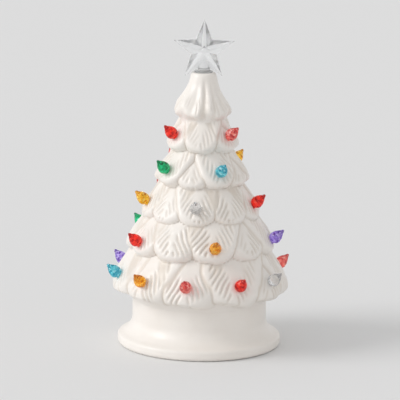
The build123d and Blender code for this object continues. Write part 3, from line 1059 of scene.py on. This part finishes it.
    def turned_rows(self, outline: Outline, columns: int) -> list[Row]:
        """Plain rows turned about the axis.

        Args:
            outline: Radius and height of each row.
            columns: Points in each row.

        Returns:
            The rows in the outline's order.
        """
        angles = np.arange(columns) * 2 * np.pi / columns
        rows = []
        for radius, height in outline:
            level = np.full(columns, height)
            ring = np.stack((radius * np.sin(angles), -radius * np.cos(angles), level), axis=1)
            rows.append(Row(ring, np.zeros(columns)))
        return rows

    def quarter(self, start: int) -> list[float]:
        """Angles along a quarter round, in radians, from a start in degrees."""
        return [math.radians(angle) for angle in range(start, start + 91, self.ARC_STEP)]

    def foot_outline(self) -> Outline:
        """Outline of the foot, from the seat round the lip to the drum.

        Returns:
            Radius and height of each place.
        """
        rounding = self.lip_rounding
        outline = [(self.seat_radius, 0.0), (0.5 * (self.seat_radius + self.lip_radius - rounding), 0.0)]
        for centre, start in ((rounding, -90), (self.lip_height - rounding, 0)):
            for angle in self.quarter(start):
                radius = self.lip_radius - rounding + rounding * math.cos(angle)
                outline.append((radius, centre + rounding * math.sin(angle)))
        outline += self.flare_outline()
        blend = np.array(outline)
        first, last = self.BLEND
        for _ in range(self.foot_smoothing):
            beside = blend[first - 1 : last - 1] + blend[first + 1 : last + 1]
            blend[first:last] = 0.5 * blend[first:last] + 0.25 * beside
        return [tuple(place) for place in blend]

    def flare_outline(self) -> Outline:
        """Outline of the flare's hollow and of the drum up to the first carved row.

        Returns:
            Radius and height of each place.
        """
        foot = np.array((self.flare_foot_radius, self.lip_height))
        top = np.array((self.drum_radius, self.flare_top))
        middle = 0.5 * (foot + top)
        chord = top - foot
        half = 0.5 * np.linalg.norm(chord)
        square = np.array((chord[1], -chord[0])) / (2 * half)
        centre = middle + square * math.sqrt(self.flare_radius**2 - half**2)
        first = math.atan2(*(foot - centre)[::-1]) % (2 * math.pi)
        last = math.atan2(*(top - centre)[::-1]) % (2 * math.pi)
        sweep = [first + (last - first) * step / 12 for step in range(13)]
        rays = [np.array((math.cos(angle), math.sin(angle))) for angle in sweep]
        levels = np.arange(self.flare_top + self.drum_step, self.first_row, self.drum_step)
        hollow = [tuple(centre + self.flare_radius * ray) for ray in rays]
        return hollow + [(self.drum_radius, height) for height in levels]

    def rows(self) -> list[Row]:
        """All rows of the casting.

        Returns:
            The rows in a closed round from the ledge out, up and back inside.
        """
        coarse = self.fine_columns // 8
        neck_end = self.top - self.rim_rounding
        rise = int((neck_end - self.first_row) / self.row_step)
        levels = np.linspace(self.first_row, neck_end, rise)
        lower = levels[levels < self.thinning_height]
        upper = levels[levels >= self.thinning_height]
        rim = []
        for angle in self.quarter(0)[1:]:
            radius = self.neck_radius - self.rim_rounding * (1 - math.cos(angle))
            rim.append((radius, neck_end + self.rim_rounding * math.sin(angle)))
        rim.append((self.mouth_radius + self.mouth_edge, self.top))
        rim.append((self.mouth_radius, self.top - self.mouth_edge))
        hidden = [(self.mouth_radius, self.top - self.mouth_depth), *reversed(self.cone(self.wall))]
        hidden += [(self.drum_radius - self.wall, self.drum_top)]
        rows = self.turned_rows([(self.drum_radius - self.wall, self.ledge_height)], coarse)
        rows += self.turned_rows([(self.seat_radius, self.ledge_height)], 2 * coarse)
        rows += self.turned_rows(self.foot_outline(), 4 * coarse)
        for block in np.array_split(lower, 4):
            rows += self.bough_rows(block, 8 * coarse)
        for block in np.array_split(upper, 4):
            rows += self.bough_rows(block, 4 * coarse)
        rows += self.turned_rows(rim, 4 * coarse)
        rows += self.turned_rows([(self.mouth_radius, self.top - self.mouth_row)], 2 * coarse)
        return rows + self.turned_rows(hidden, coarse)

    def bridge(self, first: int, low: int, second: int, high: int) -> Faces:
        """Faces between two rows, one of which may have twice as many points.

        Args:
            first: Number of the lower row's first point.
            low: Points in the lower row.
            second: Number of the upper row's first point.
            high: Points in the upper row.

        Returns:
            Faces as tuples of point numbers.
        """
        faces = []
        for step in range(min(low, high)):
            after = (step + 1) % min(low, high)
            lower, lower_after = first + step, first + after
            upper, upper_after = second + step, second + after
            if low == high:
                faces.append((lower, lower_after, upper_after, upper))
            elif low > high:
                left, right = first + 2 * step, first + 2 * after
                middle = left + 1
                faces += [(left, middle, upper), (middle, upper_after, upper), (middle, right, upper_after)]
            else:
                left, right = second + 2 * step, second + 2 * after
                middle = left + 1
                faces += [(left, lower, middle), (middle, lower, lower_after), (middle, lower_after, right)]
        return faces

    def build(self) -> bpy.types.Object:
        """Builds the carved casting and dresses it.

        Returns:
            The piece.
        """
        rows = self.rows()
        starts = np.concatenate(((0,), np.cumsum([len(row.points) for row in rows])))
        faces = []
        for index, row in enumerate(rows):
            after = (index + 1) % len(rows)
            first, second = int(starts[index]), int(starts[after])
            faces += self.bridge(first, len(row.points), second, len(rows[after].points))
        mesh = bpy.data.meshes.new("carved_casting")
        mesh.from_pydata(np.concatenate([row.points for row in rows]) * MM, [], faces)
        # Painted shade in the carving, kept on the points for the glaze.
        mesh.attributes.new(self.PAINTED_SHADE, "FLOAT", "POINT")
        mesh.attributes[self.PAINTED_SHADE].data.foreach_set("value", np.concatenate([row.pool for row in rows]))
        mesh.shade_smooth()
        mesh.validate()
        piece = bpy.data.objects.new("carved_casting", mesh)
        bpy.context.collection.objects.link(piece)
        mesh.materials.append(GLAZE.material())
        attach(piece, "tree")
        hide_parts(self.NODE)
        LOG.info("%s: %d faces", piece.name, len(mesh.polygons))
        return piece


@dataclass
class Bulb:
    """One faceted plastic bulb that stands for its plain CAD node, in millimetres.

    Attributes:
        node: Name of the CAD node.
        tilt: Angle of the bulb above the level, in degrees.
        length: Length from the seat to the tip.
        sides: Facets round the bulb.
        end_slice: Depth of the slice at the tip whose middle lies on the axis.
        passes: Passes in which the axis is found.
        FACET_LIGHT: Attribute with the level of painted reflection on each facet.
        SCATTER: Numbers that scatter the painted reflections over the facets.
        PEG: Radius and height of each ring of the peg and its collar.
        DROP: Radius and height of each ring of the faceted drop.
    """

    node: str
    tilt: float = 43.0
    length: float = 12.7
    sides: int = 12
    end_slice: float = 0.1
    passes: int = 3

    FACET_LIGHT = "painted_facet_light"
    SCATTER = (12.9898, 437.585)
    PEG = ((1.5, -6.5), (1.5, 0.0), (2.4, 0.0), (2.4, 1.3))
    DROP = ((3.4, 1.9), (4.1, 3.0), (4.35, 4.4), (4.15, 5.9), (3.65, 7.4), (2.85, 8.9), (1.95, 10.2),
            (1.35, 11.1), (1.1, 11.9), (0.55, 12.7))

    @property
    def colour(self) -> BulbColour:
        """Colour named at the end of the node's name."""
        return BulbColour[self.node.rsplit("_", 1)[1].upper()]

    def frame(self, solid: bpy.types.Object) -> Matrix:
        """Place of the bulb: its seat's middle and its axis.

        Args:
            solid: The CAD node's object.

        Returns:
            Matrix from the bulb's own frame to the tree's.
        """
        places = np.unique(np.round([vertex.co for vertex in solid.data.vertices], 7), axis=0)
        tilt = math.radians(self.tilt)
        middle = Vector(places.mean(axis=0))
        for _ in range(self.passes):
            away = Vector((middle.x, middle.y, 0.0)).normalized()
            axis = away * math.cos(tilt) + Vector((0.0, 0.0, math.sin(tilt)))
            along = places @ np.array(axis)
            end = places[along > along.max() - self.end_slice * MM]
            middle = Vector(0.5 * (end.min(axis=0) + end.max(axis=0)))
        side = Vector((-away.y, away.x, 0.0))
        seat = middle - axis * self.length * MM
        columns = (side, axis.cross(side), axis)
        return Matrix.Translation(seat) @ Matrix([list(row) for row in zip(*columns)]).to_4x4()

    def build(self, solid: bpy.types.Object) -> bpy.types.Object:
        """Builds the faceted drop on its neck and peg.

        Args:
            solid: The CAD node's object.

        Returns:
            The piece.
        """
        vertices = []
        for index, (radius, height) in enumerate((*self.PEG, *self.DROP)):
            shift = 0.5 * (index % 2) if index >= len(self.PEG) else 0.0
            for step in range(self.sides):
                angle = 2 * math.pi * (step + shift) / self.sides
                place = (radius * math.cos(angle), radius * math.sin(angle), height)
                vertices.append(tuple(value * MM for value in place))
        rings = len(vertices) // self.sides
        last = range((rings - 1) * self.sides, rings * self.sides)
        faces = [tuple(reversed(range(self.sides))), tuple(last)]
        for ring in range(rings - 1):
            faces += self.band(ring)
        mesh = bpy.data.meshes.new(f"faceted_{self.node}")
        mesh.from_pydata(vertices, [], faces)
        # Painted reflections: each pair of facets gets a scattered level that the material turns into
        # painted shade or a painted glint.
        pairs = np.arange(len(faces)) // 2 + sum(map(ord, self.node))
        facet_lights = np.abs(np.sin(self.SCATTER[0] * pairs) * self.SCATTER[1]) % 1.0
        mesh.attributes.new(self.FACET_LIGHT, "FLOAT", "FACE").data.foreach_set("value", facet_lights)
        piece = bpy.data.objects.new(f"faceted_{self.node}", mesh)
        bpy.context.collection.objects.link(piece)
        piece.matrix_world = self.frame(solid)
        finish = self.colour.finish()
        mesh.materials.append(finish.material())
        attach(piece, "tree")
        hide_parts(self.node)
        return piece

    def band(self, ring: int) -> Faces:
        """Faces between a ring and the next, as facets on the drop.

        Args:
            ring: Number of the lower ring.

        Returns:
            Faces as tuples of point numbers.
        """
        first = ring * self.sides
        second = first + self.sides
        faces = []
        lower_shift = ring >= len(self.PEG) and ring % 2
        upper_shift = ring + 1 >= len(self.PEG) and (ring + 1) % 2
        for step in range(self.sides):
            after = (step + 1) % self.sides
            lower, lower_after = first + step, first + after
            upper, upper_after = second + step, second + after
            if lower_shift == upper_shift:
                faces.append((lower, lower_after, upper_after, upper))
            elif upper_shift:
                faces += [(lower, lower_after, upper), (lower_after, upper_after, upper)]
            else:
                faces += [(lower, upper_after, upper), (lower, lower_after, upper_after)]
        return faces


class Base:
    """Star, battery base and lamp: CAD solids that keep their shape and get their finish."""

    def dress(self, nodes: dict[str, bpy.types.Object], slots: dict[str, str]) -> None:
        """Gives each solid the finish of its slot.

        Args:
            nodes: The CAD nodes' objects by name.
            slots: Material slot of each node.
        """
        finishes = {finish.name: finish for finish in (*PLAIN_FINISHES, STAR_CLEAR)}
        for name, solid in nodes.items():
            finish = finishes.get(slots[name])
            if finish is None:
                continue
            if not solid.data.materials:
                solid.data.materials.append(None)
            for slot in solid.material_slots:
                slot.material = finish.material()
            LOG.info("%s: %s", name, finish.name)


@dataclass
class Studio:
    """Pale floor, soft light from the left and the camera.

    Attributes:
        floor_colour: Colour of the floor.
        floor_reach: Half width of the floor in metres.
        floor_gap: Gap under the tree in millimetres.
        key_strength: Strength of the key light.
        key_softness: Apparent size of the key light in degrees.
        key_direction: Direction to the key light.
        sky_low: Brightness of the darker part of the room.
        sky_high: Brightness of the lighter part of the room.
        horizon: Share of that brightness at eye level.
        zenith: Share of that brightness overhead.
        camera_distance: Level distance of the camera in metres.
        camera_height: Height of the camera in metres.
        camera_side: Offset of the camera to the right in metres.
        pitch: Angle of the camera below the level, in degrees.
        roll: Roll of the camera in degrees.
        lens: Focal length in millimetres on the sensor.
        sensor: Width of the sensor in millimetres.
        PANELS: Dark panels of the room: axis, reach along it, heights and share of light left.
    """

    floor_colour: Colour = (0.80, 0.80, 0.80)
    floor_reach: float = 8.0
    floor_gap: float = 0.1
    key_strength: float = 1.3
    key_softness: float = 32.0
    key_direction: Triple = (-0.84, -0.24, 0.50)
    sky_low: float = 0.70
    sky_high: float = 0.80
    horizon: float = 1.3
    zenith: float = 0.75
    camera_distance: float = 2.057
    camera_height: float = 0.532
    camera_side: float = -0.0009
    pitch: float = 11.77
    roll: float = 1.07
    lens: float = 267.0
    sensor: float = 36.0

    PANELS = (
        ("Y", (-0.80, -0.97), (0.12, 0.26), 0.6),
        ("Y", (0.55, 0.85), (0.12, 0.30), 0.85),
        ("X", (0.60, 0.90), (0.20, 0.45), 0.85),
    )

    def floor(self) -> None:
        """Lays the floor, which is clear seen from below."""
        reach = self.floor_reach
        corners = [(-reach, -reach, 0), (reach, -reach, 0), (reach, reach, 0), (-reach, reach, 0)]
        mesh = bpy.data.meshes.new("studio_floor")
        mesh.from_pydata(corners, [], [(0, 1, 2, 3)])
        floor = bpy.data.objects.new("studio_floor", mesh)
        floor.location.z = -self.floor_gap * MM
        bpy.context.collection.objects.link(floor)
        surface = Surface("studio_paper")
        surface.set(Base_Color=self.floor_colour, Roughness=0.95, Specular_IOR_Level=0.1)
        mix = surface.add("ShaderNodeMixShader")
        surface.join(surface.add("ShaderNodeNewGeometry").outputs["Backfacing"], mix.inputs[0])
        surface.join(surface.shader.outputs[0], mix.inputs[1])
        surface.join(surface.add("ShaderNodeBsdfTransparent").outputs[0], mix.inputs[2])
        surface.join(mix.outputs[0], surface.tree.nodes["Material Output"].inputs["Surface"])
        mesh.materials.append(surface.material)

    def light(self) -> None:
        """Sets the key light and the room's own light."""
        lamp = bpy.data.lights.new("key_light", "SUN")
        lamp.energy = self.key_strength
        lamp.angle = math.radians(self.key_softness)
        key = bpy.data.objects.new("key_light", lamp)
        key.rotation_mode = "QUATERNION"
        key.rotation_quaternion = Vector(self.key_direction).to_track_quat("Z", "Y")
        bpy.context.collection.objects.link(key)
        world = bpy.data.worlds.new("studio_room")
        world.use_nodes = True
        bpy.context.scene.world = world
        room = Nodes(world.node_tree)
        axes = room.add("ShaderNodeSeparateXYZ").outputs
        room.join(room.add("ShaderNodeTexCoord").outputs["Generated"], axes["X"].node.inputs[0])
        beside = room.span(axes["X"], (-1.0, 1.0), (self.sky_high, self.sky_low))
        above = room.span(axes["Z"], (0.0, 1.0), (self.horizon, self.zenith))
        strength = room.combine("MULTIPLY", beside, above)
        for axis, edge, height, dark in self.PANELS:
            across = room.span(axes[axis], edge, (0.0, 1.0))
            panel = room.combine("MULTIPLY", across, room.span(axes["Z"], height, (1.0, 0.0)))
            strength = room.combine("MULTIPLY", strength, room.span(panel, (0.0, 1.0), (1.0, dark)))
        background = world.node_tree.nodes["Background"].inputs
        background["Color"].default_value = (1.0, 1.0, 1.0, 1.0)
        room.join(strength, background["Strength"])

    def camera(self) -> None:
        """Sets the camera at the photograph's angle."""
        lens = bpy.data.cameras.new("camera")
        lens.lens = self.lens
        lens.sensor_width = self.sensor
        lens.clip_end = 100.0
        camera = bpy.data.objects.new("camera", lens)
        tilt = Matrix.Rotation(math.radians(90.0 - self.pitch), 4, "X")
        roll = Matrix.Rotation(math.radians(self.roll), 4, "Z")
        place = Matrix.Translation((self.camera_side, -self.camera_distance, self.camera_height))
        camera.matrix_world = place @ tilt @ roll
        bpy.context.collection.objects.link(camera)
        bpy.context.scene.camera = camera
        bpy.context.scene.view_settings.view_transform = "Standard"


def main() -> None:
    """Builds and dresses the tree, then lights it."""
    logging.basicConfig(level=logging.INFO, format="%(name)s %(message)s")
    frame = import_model()
    slots = {part["node"]: part["material_slot"] for part in frame["record"]["subparts"]}
    Casting().build()
    for name, solid in frame["nodes"].items():
        if name.startswith("bulb_"):
            LOG.info("%s", Bulb(name).build(solid).name)
    Base().dress(frame["nodes"], slots)
    studio = Studio()
    studio.floor()
    studio.light()
    studio.camera()


if __name__ == "__main__":
    main()
